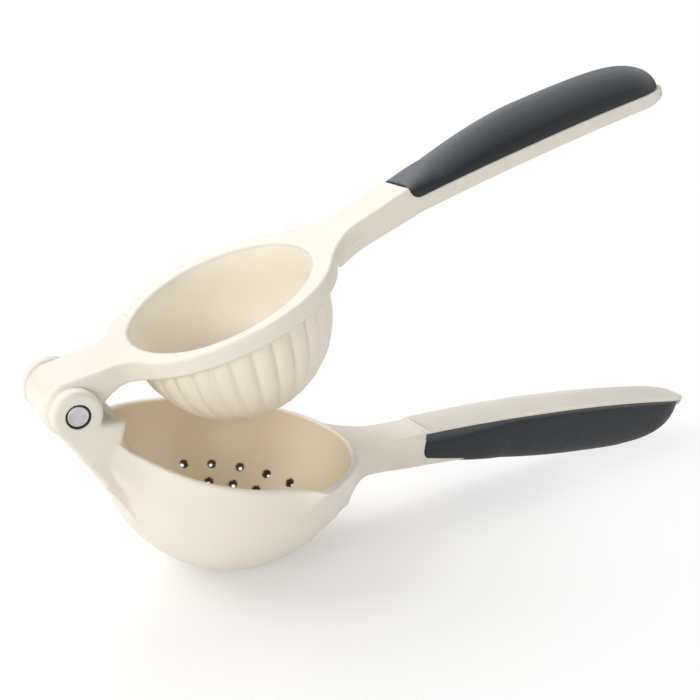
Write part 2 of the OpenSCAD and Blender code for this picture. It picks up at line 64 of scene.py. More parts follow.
# ---- Sizes in millimetres; angles in degrees where a comment says so ----
MM = 0.001
BOWL_R = 35.4
BOWL_OUT = 37.8
FOOT_DEPTH = 37.3
RIM_ROUND = 0.9
HINGE = (-50.0, 12.7)
HINGE_W = 29.4
EAR_T = 3.6
NEAR_EAR_R = 6.6
FAR_EAR_R = 7.55
BARREL_R = 7.6
BARREL_HALF = 10.2
BUSH_R = 3.2
BUSH_DEPTH = 3.4
PIN_R = 2.2
PIN_HEAD_R = 2.88
PIN_HEAD_T = 1.2
PIN_CHAMFER = 0.28
GUARD_X = -37.5
GUARD_T = 2.7
GUARD_H = 10.6
CHEEK_TAPER = math.radians(9)
LUG_TURN = math.radians(46)
SLOT_R = 5.6
DOME_R = 28.9
DOME_Z = 7.6
DOME_IN = 26.0
RING_IN = 27.3
RING_OUT = 33.5
RING_TOP = 15.4
RING_LOW = 10.4
RING_LIP = 14.0
# Where the ring's band is narrower: its direction and spread in degrees, and by how much.
RING_NARROW = ((-112, 42, 2.3), (80, 40, 0.8))
RIBS = 30
RIB_TWIST = math.radians(-15)
RIB_TURN = math.radians(5)
RIB_DEPTH = 1.3
NECK_HALF = 7.2
HANDLE_HALF = 8.3
WIDEN = 45.0
END_ROUND = 13.0
ARM_ROOT = 4.0
ARM_START = -24.0
ARCH_X = -36.2
NECK_ROOT = 12.0
NECK_TOP = -0.9
NECK_RISE = 2.4
NECK_LOW = -12.0
NECK_FLARE = 4.8
LOWER_START = 65.5
LOWER_END = 188.0
UPPER_START = 63.0
UPPER_END = 167.5
GRIP_SHORT = 2.5
COVER_NOSE = 4.6
BAR_T = 4.8
UPPER_CORNER = 3.4
LOWER_CORNER = 2.6
CLOSED_ANGLE = math.radians(4.6)
# Drain holes: angle from the bowl's axis, middle of the row, number of holes, step, in degrees.
DRAIN_ROWS = ((55.3, 55, 5, 18), (45.7, 57, 5, 17.5), (35.5, 58, 5, 24),
              (24, 0, 8, 45), (11, 180, 3, 90))
DRAIN_R = 1.55
DRAIN_TAPER = 1.15
# The pouring lip: its direction in degrees, and its reach outside and inside.
LIP_TURN = -76.0
LIP_OUT = 5.6
LIP_IN = 4.6
RIM_SWEEP = 4.5
RIM_RAMP = 1.6
RIM_DIP = 0.9
# The crease beside a cheek: its upper end, its lean, and the step that it makes.
CREASE = (-40.4, 6.6)
CREASE_LEAN = 0.241
CREASE_STEP = 0.7
SHOULDER_ROOT = 8.0


# ---- The two level frames ----
def spin_y(angle):
    c, s = math.cos(angle), math.sin(angle)
    return np.array([[c, 0, s], [0, 1, 0], [-s, 0, c]])


joint = frame["joints"][0]
hinge_world = np.array(joint["pos_m"]) / MM
rim_to_hinge = hinge_world - [0, 0, FOOT_DEPTH]
REST_TILT = math.atan2(HINGE[1], HINGE[0]) - math.atan2(rim_to_hinge[2], rim_to_hinge[0])
OPEN_ANGLE = CLOSED_ANGLE - math.radians(joint["range_deg"][0])
LOWER_TURN = spin_y(REST_TILT)
UPPER_TURN = spin_y(REST_TILT - OPEN_ANGLE)
HINGE_POINT = np.array([HINGE[0], 0, HINGE[1]])


def place(points, half):
    """Takes points of a half's level frame, in millimetres, to the world, in metres."""
    if half == "upper":
        turned = (points - HINGE_POINT) @ UPPER_TURN.T + HINGE_POINT @ LOWER_TURN.T
    else:
        turned = points @ LOWER_TURN.T
    return (turned + [0, 0, FOOT_DEPTH]) * MM


def turn_only(normals, half):
    return normals @ (UPPER_TURN if half == "upper" else LOWER_TURN).T


# ---- Distance fields: operators ----
def meet(a, b, r):
    """Intersection of two solids, its edge rounded with radius r."""
    return np.minimum(np.maximum(a, b), -r) + np.hypot(np.maximum(a + r, 0), np.maximum(b + r, 0))


def join(a, b, r):
    """Union of two solids, its corner filleted with radius r."""
    return np.maximum(np.minimum(a, b), r) - np.hypot(np.maximum(r - a, 0), np.maximum(r - b, 0))


def soften(a, b, depth):
    """Union of two surfaces that meet at a shallow angle, filled by up to a quarter of depth."""
    share = np.maximum(1 - np.abs(a - b) / depth, 0)
    return np.minimum(a, b) - share * share * depth / 4


def smooth(t):
    t = np.clip(t, 0, 1)
    return t * t * (3 - 2 * t)


def corner(distance, radius):
    """How far a rounded edge of a radius draws in, at a distance from its end."""
    t = np.clip(distance / radius, 0, 1)
    return radius * (1 - np.sqrt(np.maximum(0, 1 - (1 - t) ** 2)))


def bent(x, start, z, slope, bend):
    """Height of a seam that leaves its start at a slope and bends down along the handle."""
    return z + math.tan(math.radians(slope)) * (x - start) - (x - start) ** 2 / (2 * bend)


def lower_seam(x):
    return bent(x, LOWER_START, 1.1, 9.2, 730)


def upper_bar(x):
    return bent(x, UPPER_START, RING_TOP - 7.9, -4, 1050)


def upper_seam(x):
    return upper_bar(x) + BAR_T


def widening(x, start):
    """Half the width of a handle as it widens from its neck, its end left out."""
    return NECK_HALF + (HANDLE_HALF - NECK_HALF) * np.clip((x - start) / WIDEN, 0, 1)


def half_width(x, start, end):
    """Half the width of a handle: it widens from its neck and ends in half an ellipse."""
    tip = np.clip((x - end + END_ROUND) / END_ROUND, 0, 1)
    return widening(x, start) * np.sqrt(np.maximum(0, 1 - tip ** 2))


def handle_plan(x, y, start, end):
    """Distance to the outline of a handle, seen from above."""
    full = widening(x, start)
    along = np.maximum(x - end + END_ROUND, 0) / END_ROUND
    level = np.maximum(np.hypot(along, y / full), 0.2)
    slope = np.hypot(along / END_ROUND, y / full ** 2) / level
    return (level - 1) / np.maximum(slope, 1 / END_ROUND)


# ---- Lower moulding ----
def lip_share(az, width_left, width_right):
    """Share of the pouring lip's reach at a direction: steep on its left, long on its right."""
    off = az - LIP_TURN
    return np.exp(-np.where(off < 0, -off / width_left, off / width_right) ** 1.5)


def bowl_shell(x, y, z):
    rho = np.hypot(x, y)
    az = np.degrees(np.arctan2(y, x))
    out_reach = LIP_OUT * lip_share(az, 5.0, 13.0) * np.clip(1 + z / 9, 0, 1) ** 1.6
    in_reach = LIP_IN * lip_share(az, 5.0, 17.0) * np.clip(1 + z / 7, 0, 1) ** 1.3
    ball = np.hypot(rho - out_reach, z) - BOWL_OUT
    hollow = np.hypot(rho - in_reach, np.minimum(z, 0)) - BOWL_R
    return ball, hollow


def rim_top(x, y):
    """Height of the rim: it sweeps up towards the wall by the hinge, and dips a little in front."""
    sweep = RIM_SWEEP * np.clip(x / GUARD_X, 0, 1.05) ** 3
    ramp = RIM_RAMP * smooth((-35.2 - x) / 5.2)
    return sweep + ramp - RIM_DIP * smooth(-y / 16 - 0.2)


def cheek_back(x, z, ear_r):
    """Distance past a cheek's back edge, the tangent of its ear and the bowl, and along it."""
    foot_r = math.sqrt(BOWL_OUT ** 2 - (HINGE_W / 2) ** 2)
    turn = math.atan2(HINGE[1], HINGE[0]) + math.acos((foot_r - ear_r) / math.hypot(*HINGE))
    c, s = math.cos(turn), math.sin(turn)
    return x * c + z * s - foot_r, z * c - x * s


def cheek_plan(x, z, ear_r):
    """Side view of a cheek: the plate that runs down from its round ear to the bowl."""
    back, ray = cheek_back(x, z, ear_r)
    edge = (x - CREASE[0] - (CREASE[1] - z) * CREASE_LEAN) * 0.97
    inner = np.minimum(x - GUARD_X, np.maximum(z - CREASE[1], edge))
    plate = np.maximum(np.maximum(back, ray), np.maximum(inner, z - GUARD_H))
    return np.maximum(plate, np.where(z > HINGE[1] - 4, HINGE[0] - x, plate))


def cheek_face(x, y, z):
    """Distance past the outer faces of the cheeks, drawn in towards the bowl under the rim."""
    flat = np.abs(y) - HINGE_W / 2
    start = HINGE[0] + BUSH_R + 1 + np.clip(z, 0, 9)
    drawn = flat * math.cos(CHEEK_TAPER) + (x - start) * math.sin(CHEEK_TAPER)
    return np.maximum(flat, drawn)


def shoulder(x, y, z, ball):
    """The bowl's wall, led out to the hinge block: it fills the corner beside each cheek."""
    back, _ = cheek_back(x, z, NEAR_EAR_R)
    between = np.maximum(GUARD_X - GUARD_T - x, -9 - z)
    cheek = np.minimum(HINGE_W / 2 - EAR_T - np.abs(y), between)
    face = cheek_face(x, y, z) + CREASE_STEP * smooth((z + 5) / 6)
    slab = np.maximum(np.maximum(face, GUARD_X - GUARD_T - 0.2 - x), cheek)
    slab = np.maximum(np.maximum(slab, back), x + 20)
    share = smooth((np.abs(y) - 12.5) / 1.5) * smooth((-1 - back) / 4) * smooth((z + 14) / 8)
    return join(ball, slab, 0.6 + (SHOULDER_ROOT - 0.6) * share)


def bracket(x, y, z):
    """The two cheeks with their ears, and the wall between them."""
    faces = cheek_face(x, y, z)
    reach = np.hypot(x - HINGE[0], z - HINGE[1])
    near = join(cheek_plan(x, z, NEAR_EAR_R), reach - NEAR_EAR_R, 0.6)
    far = join(cheek_plan(x, z, FAR_EAR_R), reach - FAR_EAR_R, 0.6)
    plan = np.where(y < 0, near, far)
    cheek = meet(meet(plan, faces, 1.4), HINGE_W / 2 - EAR_T - np.abs(y), 0.4)
    wall_plan = np.maximum(np.maximum(x - GUARD_X, GUARD_X - GUARD_T - x),
                           np.maximum(z - GUARD_H, -9 - z))
    wall = meet(wall_plan, faces + 0.5, 1.0)
    both = join(cheek, wall, 0.8)
    return meet(both, BUSH_R - reach, 0.12)


def stop_lug(x, y, z):
    """The lug on the wall between the cheeks that stops the barrel."""
    dx, dz = x - HINGE[0], z - HINGE[1]
    along = dx * math.cos(LUG_TURN) - dz * math.sin(LUG_TURN)
    across = dx * math.sin(LUG_TURN) + dz * math.cos(LUG_TURN)
    ends = np.maximum(SLOT_R + 0.3 - along, along - 16)
    return np.maximum(ends, np.maximum(np.abs(y) - 3, np.abs(across) - 1.5))


def lower_neck(x, y, z):
    """The neck: its plan and its side view, crossed. Its tail runs out under the grip."""
    rho = np.hypot(x, y)
    low_share = smooth((-z - 3) / 8)
    flare = np.clip((50 - x) / 13, 0, 1.6) ** 1.6 * (NECK_FLARE - 1.6 * low_share)
    half = NECK_HALF - 0.4 * smooth((x - LOWER_START + 1) / 3) + flare
    strip = np.maximum(np.abs(y) - half, -x) * 0.88
    level_r = np.sqrt(np.maximum(BOWL_OUT ** 2 - np.minimum(z, 0) ** 2, 25))
    plan = join(rho - level_r, strip, 0.5 + 8 * low_share)
    rise = NECK_RISE * np.clip((x - 44) / (LOWER_START - 44), 0, None) ** 2
    top = np.where(x > LOWER_START, z - lower_seam(x) + 1.5, z - NECK_TOP - rise)
    root = np.clip(46 - x, 0, 8)
    bottom = NECK_LOW + 0.085 * (x - 46) - (8 - np.sqrt(64 - root ** 2)) - z
    gusset = (28.5 - x) * 0.55 + (-25.5 - z) * 0.83
    side = np.maximum(np.maximum(top, np.maximum(bottom, gusset)), np.maximum(20 - x, x - 84))
    return meet(plan, side, 0.7 + 0.6 * low_share)


def drains(x, y, z):
    """Distance to the nearest drain hole's side, positive outside the holes."""
    nearest = np.full(x.shape, 50.0, dtype=x.dtype)
    for down, middle, count, step in DRAIN_ROWS:
        for k in range(count):
            az = math.radians(middle + step * (k - (count - 1) / 2))
            s, c = math.sin(math.radians(down)), math.cos(math.radians(down))
            n = (s * math.cos(az), s * math.sin(az), -c)
            along = x * n[0] + y * n[1] + z * n[2]
            off = np.sqrt(np.maximum(x * x + y * y + z * z - along ** 2, 0))
            taper = DRAIN_TAPER * np.clip((along - BOWL_R) / (BOWL_OUT - BOWL_R), 0, 1)
            nearest = np.minimum(nearest, np.where(along > 0, off + taper, 50))
    return nearest - DRAIN_R


def lower_field(x, y, z):
    """The whole lower moulding, cut flat where it stands on the table."""
    ball, hollow = bowl_shell(x, y, z)
    solid = meet(shoulder(x, y, z, ball), z - rim_top(x, y), RIM_ROUND)
    ledge = smooth(x + 39.2) * smooth((z - 2) / 2) * smooth(13.6 - np.abs(y))
    solid = join(solid, bracket(x, y, z), 0.4 + 2.0 * ledge)
    solid = np.minimum(solid, stop_lug(x, y, z))
    solid = join(solid, lower_neck(x, y, z), 0.3)
    solid = meet(solid, -hollow, RIM_ROUND)
    solid = meet(solid, -drains(x, y, z), 0.35)
    table = x * math.sin(REST_TILT) - z * math.cos(REST_TILT) - FOOT_DEPTH
    return meet(solid, table, 0.3)


# ---- Upper moulding ----
def arm_side(x, z):
    """Side view of the arm: straight on top, arched below, round at the barrel."""
    start = np.array([ARM_START, RING_TOP])
    to_hinge = np.array(HINGE) - start
    rise = math.atan2(to_hinge[1], -to_hinge[0]) + math.asin(BARREL_R / np.hypot(*to_hinge))
    slope = (z - RING_TOP) * math.cos(rise) + (x - start[0]) * math.sin(rise)
    top = soften(z - RING_TOP, slope, 1.0)
    arch = math.hypot(ARCH_X - HINGE[0], HINGE[1]) - BARREL_R + 0.3 - np.hypot(x - ARCH_X, z)
    below = np.minimum(RING_LOW - z, np.maximum(x + 36, 4.7 - z))
    arm = np.maximum(np.maximum(top, below), HINGE[0] - x)
    arm = meet(arm, arch, 0.5)
    return np.minimum(arm, np.hypot(x - HINGE[0], z - HINGE[1]) - BARREL_R)


def neck_side(x, z):
    """Side view of the upper neck: its underside drops a little towards the ring."""
    rise = np.clip((x - 37.5) / (UPPER_START - 37.5), 0, 1)
    top = z - RING_TOP - 1.1 * rise ** 1.6
    drop = np.clip(46 - x, 0, 16)
    low = 7.55 - 0.011 * drop ** 2
    low = np.where(x > UPPER_START, upper_bar(x), low)
    corner = (RING_LOW - z) * 0.72 + (DOME_R + 0.6 - x) * 0.7
    side = np.maximum(top, np.maximum(low - z, corner))
    return np.maximum(side, x - UPPER_START)


def handle_bar(x, y, z):
    """The bar under the upper grip, its lower corners rounded and its end thinned."""
    thick = BAR_T * (1 - 0.38 * np.clip((x - UPPER_END) / END_ROUND + 1, 0, 1) ** 3)
    top = z - upper_seam(x) - corner(np.maximum(x - UPPER_START, 0), UPPER_CORNER)
    low = upper_seam(x) - thick - z
    plan = handle_plan(x, y, UPPER_START, UPPER_END)
    return meet(meet(plan, low, 1.5), np.maximum(top, UPPER_START - 4 - x), 0.35)


def barrel_slot(x, y, z):
    """The slot that the stop lug runs in, on the underside of the barrel."""
    dx, dz = x - HINGE[0], z - HINGE[1]
    angle = np.degrees(np.arctan2(dz, dx))
    sector = np.maximum(-171 - angle, angle + 33.6) * 0.1
    return np.maximum(np.maximum(SLOT_R - np.hypot(dx, dz), np.abs(y) - 3.2), sector)


def ring_reach(x, y):
    """Outer radius of the ring: its band is narrower at both sides than at the arm and the neck."""
    az = np.degrees(np.arctan2(y, x))
    reach = RING_OUT
    for middle, spread, less in RING_NARROW:
        reach = reach - less * np.exp(-((az - middle) / spread) ** 2)
    return reach


def upper_field(x, y, z):
    """The whole upper moulding: ring, arm with its barrel, neck and bar."""
    rho = np.hypot(x, y)
    arm_plan = np.maximum(np.abs(y) - BARREL_HALF, x)
    neck_plan = np.maximum(np.abs(y) - NECK_HALF, -x)
    disc = rho - ring_reach(x, y)
    ring_side = np.maximum(z - RING_TOP, RING_LOW - z)
    arm = join(disc, arm_plan, ARM_ROOT)
    under = smooth((RING_LOW + 1.5 - z) / 2.5)
    neck = join(disc + 4.5 * under, neck_plan, NECK_ROOT * (1 - 0.75 * under))
    blend = smooth((-x - 38) / 8)
    arm = meet(arm, np.where(x < -22, arm_side(x, z), ring_side), 0.9 + 1.0 * blend)
    neck = meet(neck, np.where(x > 22, neck_side(x, z), ring_side), 0.9)
    ring = meet(disc, ring_side, 0.75)
    solid = join(join(ring, np.where(x < -20, arm, 9.0), 0.3), np.where(x > 20, neck, 9.0), 0.3)
    solid = join(solid, handle_bar(x, y, z), 0.4)
    solid = meet(solid, RING_IN - rho, 0.9)
    seat = np.maximum(rho - DOME_R, z - RING_LIP)
    solid = np.maximum(solid, -seat)
    bore = np.hypot(x - HINGE[0], z - HINGE[1]) - BUSH_R
    solid = meet(solid, -bore, 0.25)
    return np.maximum(solid, -barrel_slot(x, y, z))


# ---- Meshing ----
BLOCK = 8
MESH_STEP = 0.5
CREST_REACH = 2.4


def sample(field, low, step, blocks):
    """Fills a grid with the field: exactly near the surface, and by blocks far from it."""
    counts = np.array(blocks) * BLOCK
    centre = [low[i] + step * (BLOCK * (np.arange(blocks[i]) + 0.5) - 0.5) for i in range(3)]
    cx, cy, cz = np.meshgrid(*centre, indexing="ij")
    coarse = field(cx.ravel(), cy.ravel(), cz.ravel()).reshape(blocks)
    near = np.abs(coarse) < step * BLOCK * 1.35
    values = coarse.astype(np.float32)
    for axis in range(3):
        values = np.repeat(values, BLOCK, axis)
    bx, by, bz = np.nonzero(near)
    offsets = np.stack(np.meshgrid(*[np.arange(BLOCK)] * 3, indexing="ij"), -1).reshape(-1, 3)
    for part in np.array_split(np.arange(len(bx)), max(1, len(bx) // 1500)):
        index = np.stack([bx[part], by[part], bz[part]], 1)[:, None, :] * BLOCK + offsets[None]
        index = index.reshape(-1, 3)
        at = np.asarray(low) + step * index
        found = field(at[:, 0], at[:, 1], at[:, 2])
        values[index[:, 0], index[:, 1], index[:, 2]] = found
    return values, counts


def surface_net(field, low, high, step):
    """Quads round the zero level of a field: one vertex in each cell that the surface crosses."""
    low = np.asarray(low, float)
    blocks = np.ceil((np.asarray(high) - low) / (step * BLOCK)).astype(int)
    values, counts = sample(field, low, step, tuple(blocks))
    inside = values < 0
    cells = counts - 1
    total = np.zeros(cells, np.int8)
    corners = [(i, j, k) for i in (0, 1) for j in (0, 1) for k in (0, 1)]
    for i, j, k in corners:
        total += inside[i:i + cells[0], j:j + cells[1], k:k + cells[2]]
    active = (total > 0) & (total < 8)
    at = np.argwhere(active)
    number = np.full(cells, -1, np.int32)
    number[active] = np.arange(len(at))
    summed = np.zeros((len(at), 3))
    crossings = np.zeros(len(at))
    corner_value = {c: values[at[:, 0] + c[0], at[:, 1] + c[1], at[:, 2] + c[2]] for c in corners}
    for axis in range(3):
        for c in corners:
            if c[axis]:
                continue
            d = list(c)
            d[axis] = 1
            a, b = corner_value[c], corner_value[tuple(d)]
            crosses = (a < 0) != (b < 0)
            share = np.where(crosses, a / np.where(crosses, a - b, 1), 0)
            point = np.tile(np.array(c, float), (len(at), 1))
            point[:, axis] = share
            summed += point * crosses[:, None]
            crossings += crosses
    points = low + step * (at + summed / crossings[:, None])
    quads = []
    for axis in range(3):
        a_axis, b_axis = (axis + 1) % 3, (axis + 2) % 3
        head = [slice(None)] * 3
        tail = [slice(None)] * 3
        head[axis], tail[axis] = slice(0, -1), slice(1, None)
        change = inside[tuple(head)] != inside[tuple(tail)]
        edge = np.argwhere(change)
        keep = (edge[:, a_axis] > 0) & (edge[:, b_axis] > 0)
        keep &= (edge[:, a_axis] < cells[a_axis]) & (edge[:, b_axis] < cells[b_axis])
        edge = edge[keep]
        ring = []
        for da, db in ((-1, -1), (0, -1), (0, 0), (-1, 0)):
            cell = edge.copy()
            cell[:, a_axis] += da
            cell[:, b_axis] += db
            ring.append(number[cell[:, 0], cell[:, 1], cell[:, 2]])
        ring = np.stack(ring, 1)
        enters = ~inside[edge[:, 0], edge[:, 1], edge[:, 2]]
        ring[enters] = ring[enters][:, ::-1]
        quads.append(ring)
    return points, np.concatenate(quads)


def gradient(field, points, reach=0.04):
    """Slope of a field at points, from its values at a reach to either side."""
    parts = []
    for axis in range(3):
        step = np.zeros(3)
        step[axis] = reach
        ahead, behind = points + step, points - step
        parts.append(field(*ahead.T) - field(*behind.T))
    return np.stack(parts, 1) / (2 * reach)


def unit(vectors):
    return vectors / np.maximum(np.linalg.norm(vectors, axis=1, keepdims=True), 1e-9)


def relax(field, points, quads, rounds=4, share=0.45):
    """Evens the mesh out along the surface and pulls every vertex onto it."""
    ends = np.concatenate([quads[:, [i, (i + 1) % 4]] for i in range(4)])
    ends = np.concatenate([ends, ends[:, ::-1]])
    count = np.bincount(ends[:, 0], minlength=len(points))[:, None]
    for turn in range(rounds):
        slope = gradient(field, points)
        steep = np.maximum((slope ** 2).sum(1), 0.25)
        value = field(*points.T)
        points = points - slope * (np.clip(value, -0.3, 0.3) / steep)[:, None]
        if turn < rounds - 1:
            mean = np.stack([np.bincount(ends[:, 0], points[ends[:, 1], i], len(points))
                             for i in range(3)], 1) / count
            shift = mean - points
            normal = unit(slope)
            shift -= normal * (shift * normal).sum(1, keepdims=True)
            points = points + share * shift
    return points


def mesh_object(name, points, faces, half, normals=None):
    mesh = bpy.data.meshes.new(name)
    mesh.from_pydata(place(points, half).tolist(), [], [list(f) for f in faces])
    mesh.polygons.foreach_set("use_smooth", [True] * len(mesh.polygons))
    mesh.update()
    if normals is not None:
        mesh.normals_split_custom_set_from_vertices(turn_only(normals, half).tolist())
    piece = bpy.data.objects.new(name, mesh)
    bpy.context.scene.collection.objects.link(piece)
    return piece


def crest_share(points):
    """1 where the arm's flat top runs over into its barrel, away from the barrel's ends."""
    x, y, z = points.T
    along = smooth((-x - 36) / 4) * smooth((z - HINGE[1] - 2.5) / 2)
    return along * smooth((BARREL_HALF - 3.2 - np.abs(y)) / 1.5)


def field_piece(name, field, low, high, half):
    """Meshes a moulding from its distance field, with the field's own normals."""
    points, quads = surface_net(field, low, high, MESH_STEP)
    points = relax(field, points, quads)
    normals = unit(gradient(field, points))
    if half == "upper":
        share = crest_share(points)[:, None]
        normals = unit(normals * (1 - share) + unit(gradient(field, points, CREST_REACH)) * share)
    return mesh_object(name, points, quads.tolist(), half, normals)


def loft_piece(name, sections, half):
    """A closed mesh through cross-sections with equal numbers of points."""
    count = len(sections[0])
    points = np.concatenate(sections)
    faces = []
    for k in range(len(sections) - 1):
        for i in range(count):
            j = (i + 1) % count
            faces.append((k * count + i, k * count + j, (k + 1) * count + j, (k + 1) * count + i))
    faces.append(tuple(range(count - 1, -1, -1)))
    last = (len(sections) - 1) * count
    faces.append(tuple(last + i for i in range(count)))
    return mesh_object(name, points, faces, half)


# ---- Grips and cover ----
def swell(x, start, peak, end, h0, h, rise, close):
    """Depth of a grip: it swells from its start to a peak and closes round at its end."""
    before = h - (h - h0) * np.clip((peak - x) / (peak - start), 0, 1) ** rise
    after = h * np.sqrt(np.maximum(0, 1 - np.clip((x - peak) / (end - peak), 0, 1) ** close))
    return np.where(x < peak, before, after)


LOWER_GRIP_END = LOWER_END - GRIP_SHORT
UPPER_GRIP_END = UPPER_END - 0.7 * GRIP_SHORT


def lower_depth(x):
    peak = LOWER_START + 0.59 * (LOWER_GRIP_END - LOWER_START)
    return swell(x, LOWER_START, peak, LOWER_GRIP_END, h0=9.2, h=19.2, rise=1.9, close=3.4)


def table_depth(x):
    """Depth from the lower seam down to the table, less a hair."""
    table = (x * math.sin(REST_TILT) - FOOT_DEPTH) / math.cos(REST_TILT)
    return lower_seam(x) - table - 0.08


def upper_height(x):
    peak = UPPER_START + 0.47 * (UPPER_GRIP_END - UPPER_START)
    return swell(x, UPPER_START, peak, UPPER_GRIP_END, h0=4.8, h=12.1, rise=1.7, close=5.5)


def spaced(start, end, n_first, n_mid, n_last, first=6.0, last=16.0):
    """Stations along a handle: close together at both round ends."""
    a = start + first * (1 - np.cos(np.linspace(0, math.pi / 2, n_first, endpoint=False)))
    b = np.linspace(start + first, end - last, n_mid, endpoint=False)
    c = end - last + last * np.sin(np.linspace(0, math.pi / 2, n_last))
    return np.concatenate([a, b, c])


def grip_section(x, half, seam, depth, power, edge, n=72):
    """A D-shaped section: flat along the seam with rounded edges, and round on its other side."""
    t = np.linspace(0, math.pi, n)
    side = np.cos(t)
    deep = np.sin(t)
    y = half * np.sign(side) * np.abs(side) ** (2 / power)
    drop = depth * deep ** (2 / power)
    near = np.clip(1 - np.abs(drop) / edge, 0, 1)
    y = y - np.sign(y) * edge * 0.55 * near ** 2
    return np.stack([np.full(n, x), y, seam + drop], 1)


def lower_grip():
    sections = []
    for x in spaced(LOWER_START, LOWER_GRIP_END, 14, 90, 22):
        near = x - LOWER_START
        half = float(half_width(x, LOWER_START, LOWER_GRIP_END)) - corner(near, 0.5) + 0.08
        depth = max(0.3, float(lower_depth(x)) - corner(near, LOWER_CORNER))
        depth = min(depth, float(table_depth(x)))
        half = max(half, 0.05)
        power = 2.7 + 5 * max(0.0, 1 - near / 36)
        sections.append(grip_section(x, half, float(lower_seam(x)) - 0.05, -depth, power, 0.7))
    return loft_piece("lower_grip_shell", sections[::-1], "lower")


def upper_grip():
    sections = []
    for x in spaced(UPPER_START, UPPER_GRIP_END, 18, 90, 22):
        near = x - UPPER_START
        half = float(half_width(x, UPPER_START, UPPER_GRIP_END)) - corner(near, 0.5)
        base = float(upper_seam(x)) + 0.05 + corner(near, UPPER_CORNER)
        top = float(upper_seam(x) + upper_height(x)) - corner(near, 0.8) - 0.25
        power = 2.15 + 2.2 * max(0.0, 1 - near / 12)
        half = max(half, 0.05)
        sections.append(grip_section(x, half, base, max(0.3, top - base), power, 0.7))
    return loft_piece("upper_grip_shell", sections, "upper")


def cover_section(x, half, seam, crown, dish, nose, n=20):
    """The cover's section: flat below, its upper face dished between two rounded edges."""
    edge = min(0.8, half * 0.6)
    bottom_y = np.linspace(-half + 0.1, half - 0.1, n)
    sag = nose * np.sqrt(np.maximum(0, 1 - (bottom_y / half) ** 2))
    bottom = np.stack([np.full(n, x), bottom_y, seam - sag], 1)
    turn = np.linspace(-0.3, math.pi / 2, 8)
    right = np.stack([np.full(8, x), half - edge + edge * np.cos(turn),
                      seam + crown - edge * 0.7 + edge * 0.7 * np.sin(turn)], 1)
    top_y = np.linspace(half - edge, -half + edge, 2 * n)[1:-1]
    width = max(half - edge, 1e-3)
    sunk = dish * (1 - np.abs(top_y / width) ** 4)
    top = np.stack([np.full(len(top_y), x), top_y, seam + crown - sunk], 1)
    left = right[::-1] * [1, -1, 1]
    return np.concatenate([bottom, right, top, left])


def lower_cover():
    sections = []
    for x in spaced(LOWER_START, LOWER_END, 10, 90, 24, 2.0):
        near, far_off = x - LOWER_START, LOWER_END - x
        half = max(float(half_width(x, LOWER_START, LOWER_END)) - corner(near, 0.35), 0.05)
        crown = 0.8 - corner(near, 0.35) - 0.8 * corner(far_off, 2.2)
        dish = 0.5 * float(smooth(near / 3) * smooth((far_off - 2) / 8))
        closing = float(smooth((GRIP_SHORT + 0.9 - far_off) / 1.2))
        nose = COVER_NOSE * closing * (1 - corner(far_off, 1.6) / 2)
        sections.append(cover_section(x, half, float(lower_seam(x)), crown, dish, nose))
    return loft_piece("handle_cover", sections[::-1], "lower")


# ---- Press dome ----
def dome_rows():
    """Rows of the dome from the middle of its hollow over the collar down its fluted outside."""
    n = RIBS * 14
    turn = np.arange(n) * 2 * math.pi / n
    rows = []
    for down in np.linspace(89.5, 0, 44):
        a = math.radians(down)
        r, z = DOME_IN * math.cos(a), DOME_Z - DOME_IN * math.sin(a)
        rows.append(np.stack([r * np.cos(turn), r * np.sin(turn), np.full(n, z)], 1))
    collar_top = RING_LIP - 0.05
    outer = DOME_R - 0.05
    for r, z in ((DOME_IN + 0.3, 10.5), (DOME_IN + 0.7, 12.5), (RING_IN - 0.12, 13.9),
                 (RING_IN + 0.05, 14.5), (RING_IN + 0.5, 14.75), (RING_IN + 1, collar_top),
                 (outer, collar_top), (outer, RING_LOW)):
        rows.append(np.stack([r * np.cos(turn), r * np.sin(turn), np.full(n, z)], 1))
    for down in np.linspace(-5, 89.5, 96):
        a = math.radians(down)
        fade = math.cos(a) ** 0.6
        u = turn * RIBS / (2 * math.pi)
        off = np.abs(u - np.floor(u) - 0.5) * 2
        cut = RIB_DEPTH * fade * off ** 2.6
        r = (outer - cut) * math.cos(a)
        t = turn + RIB_TURN + RIB_TWIST * down / 90
        z = DOME_Z - outer * math.sin(a)
        rows.append(np.stack([r * np.cos(t), r * np.sin(t), np.full(n, z)], 1))
    return rows


def press_dome():
    return loft_piece("fluted_dome", dome_rows()[::-1], "upper")


# ---- Hinge parts ----
def turned(name, profile, half, side=-1, steps=96):
    """A ring or disc turned round the hinge axis: (radius, distance along the axis) points."""
    rings = []
    turn = np.arange(steps) * 2 * math.pi / steps
    for r, along in profile:
        rings.append(np.stack([HINGE[0] + r * np.cos(turn), np.full(steps, side * along),
                               HINGE[1] + r * np.sin(turn)], 1))
    points = np.concatenate(rings)
    count = len(profile)
    faces = []
    for k in range(count - 1):
        for i in range(steps):
            j = (i + 1) % steps
            quad = (k * steps + i, k * steps + j, (k + 1) * steps + j, (k + 1) * steps + i)
            faces.append(quad if side > 0 else quad[::-1])
    first = tuple(range(steps))
    last = tuple((count - 1) * steps + i for i in range(steps))
    if profile[0] != profile[-1]:
        faces.append(first if side < 0 else first[::-1])
        faces.append(last[::-1] if side < 0 else last)
    return mesh_object(name, points, faces, half)


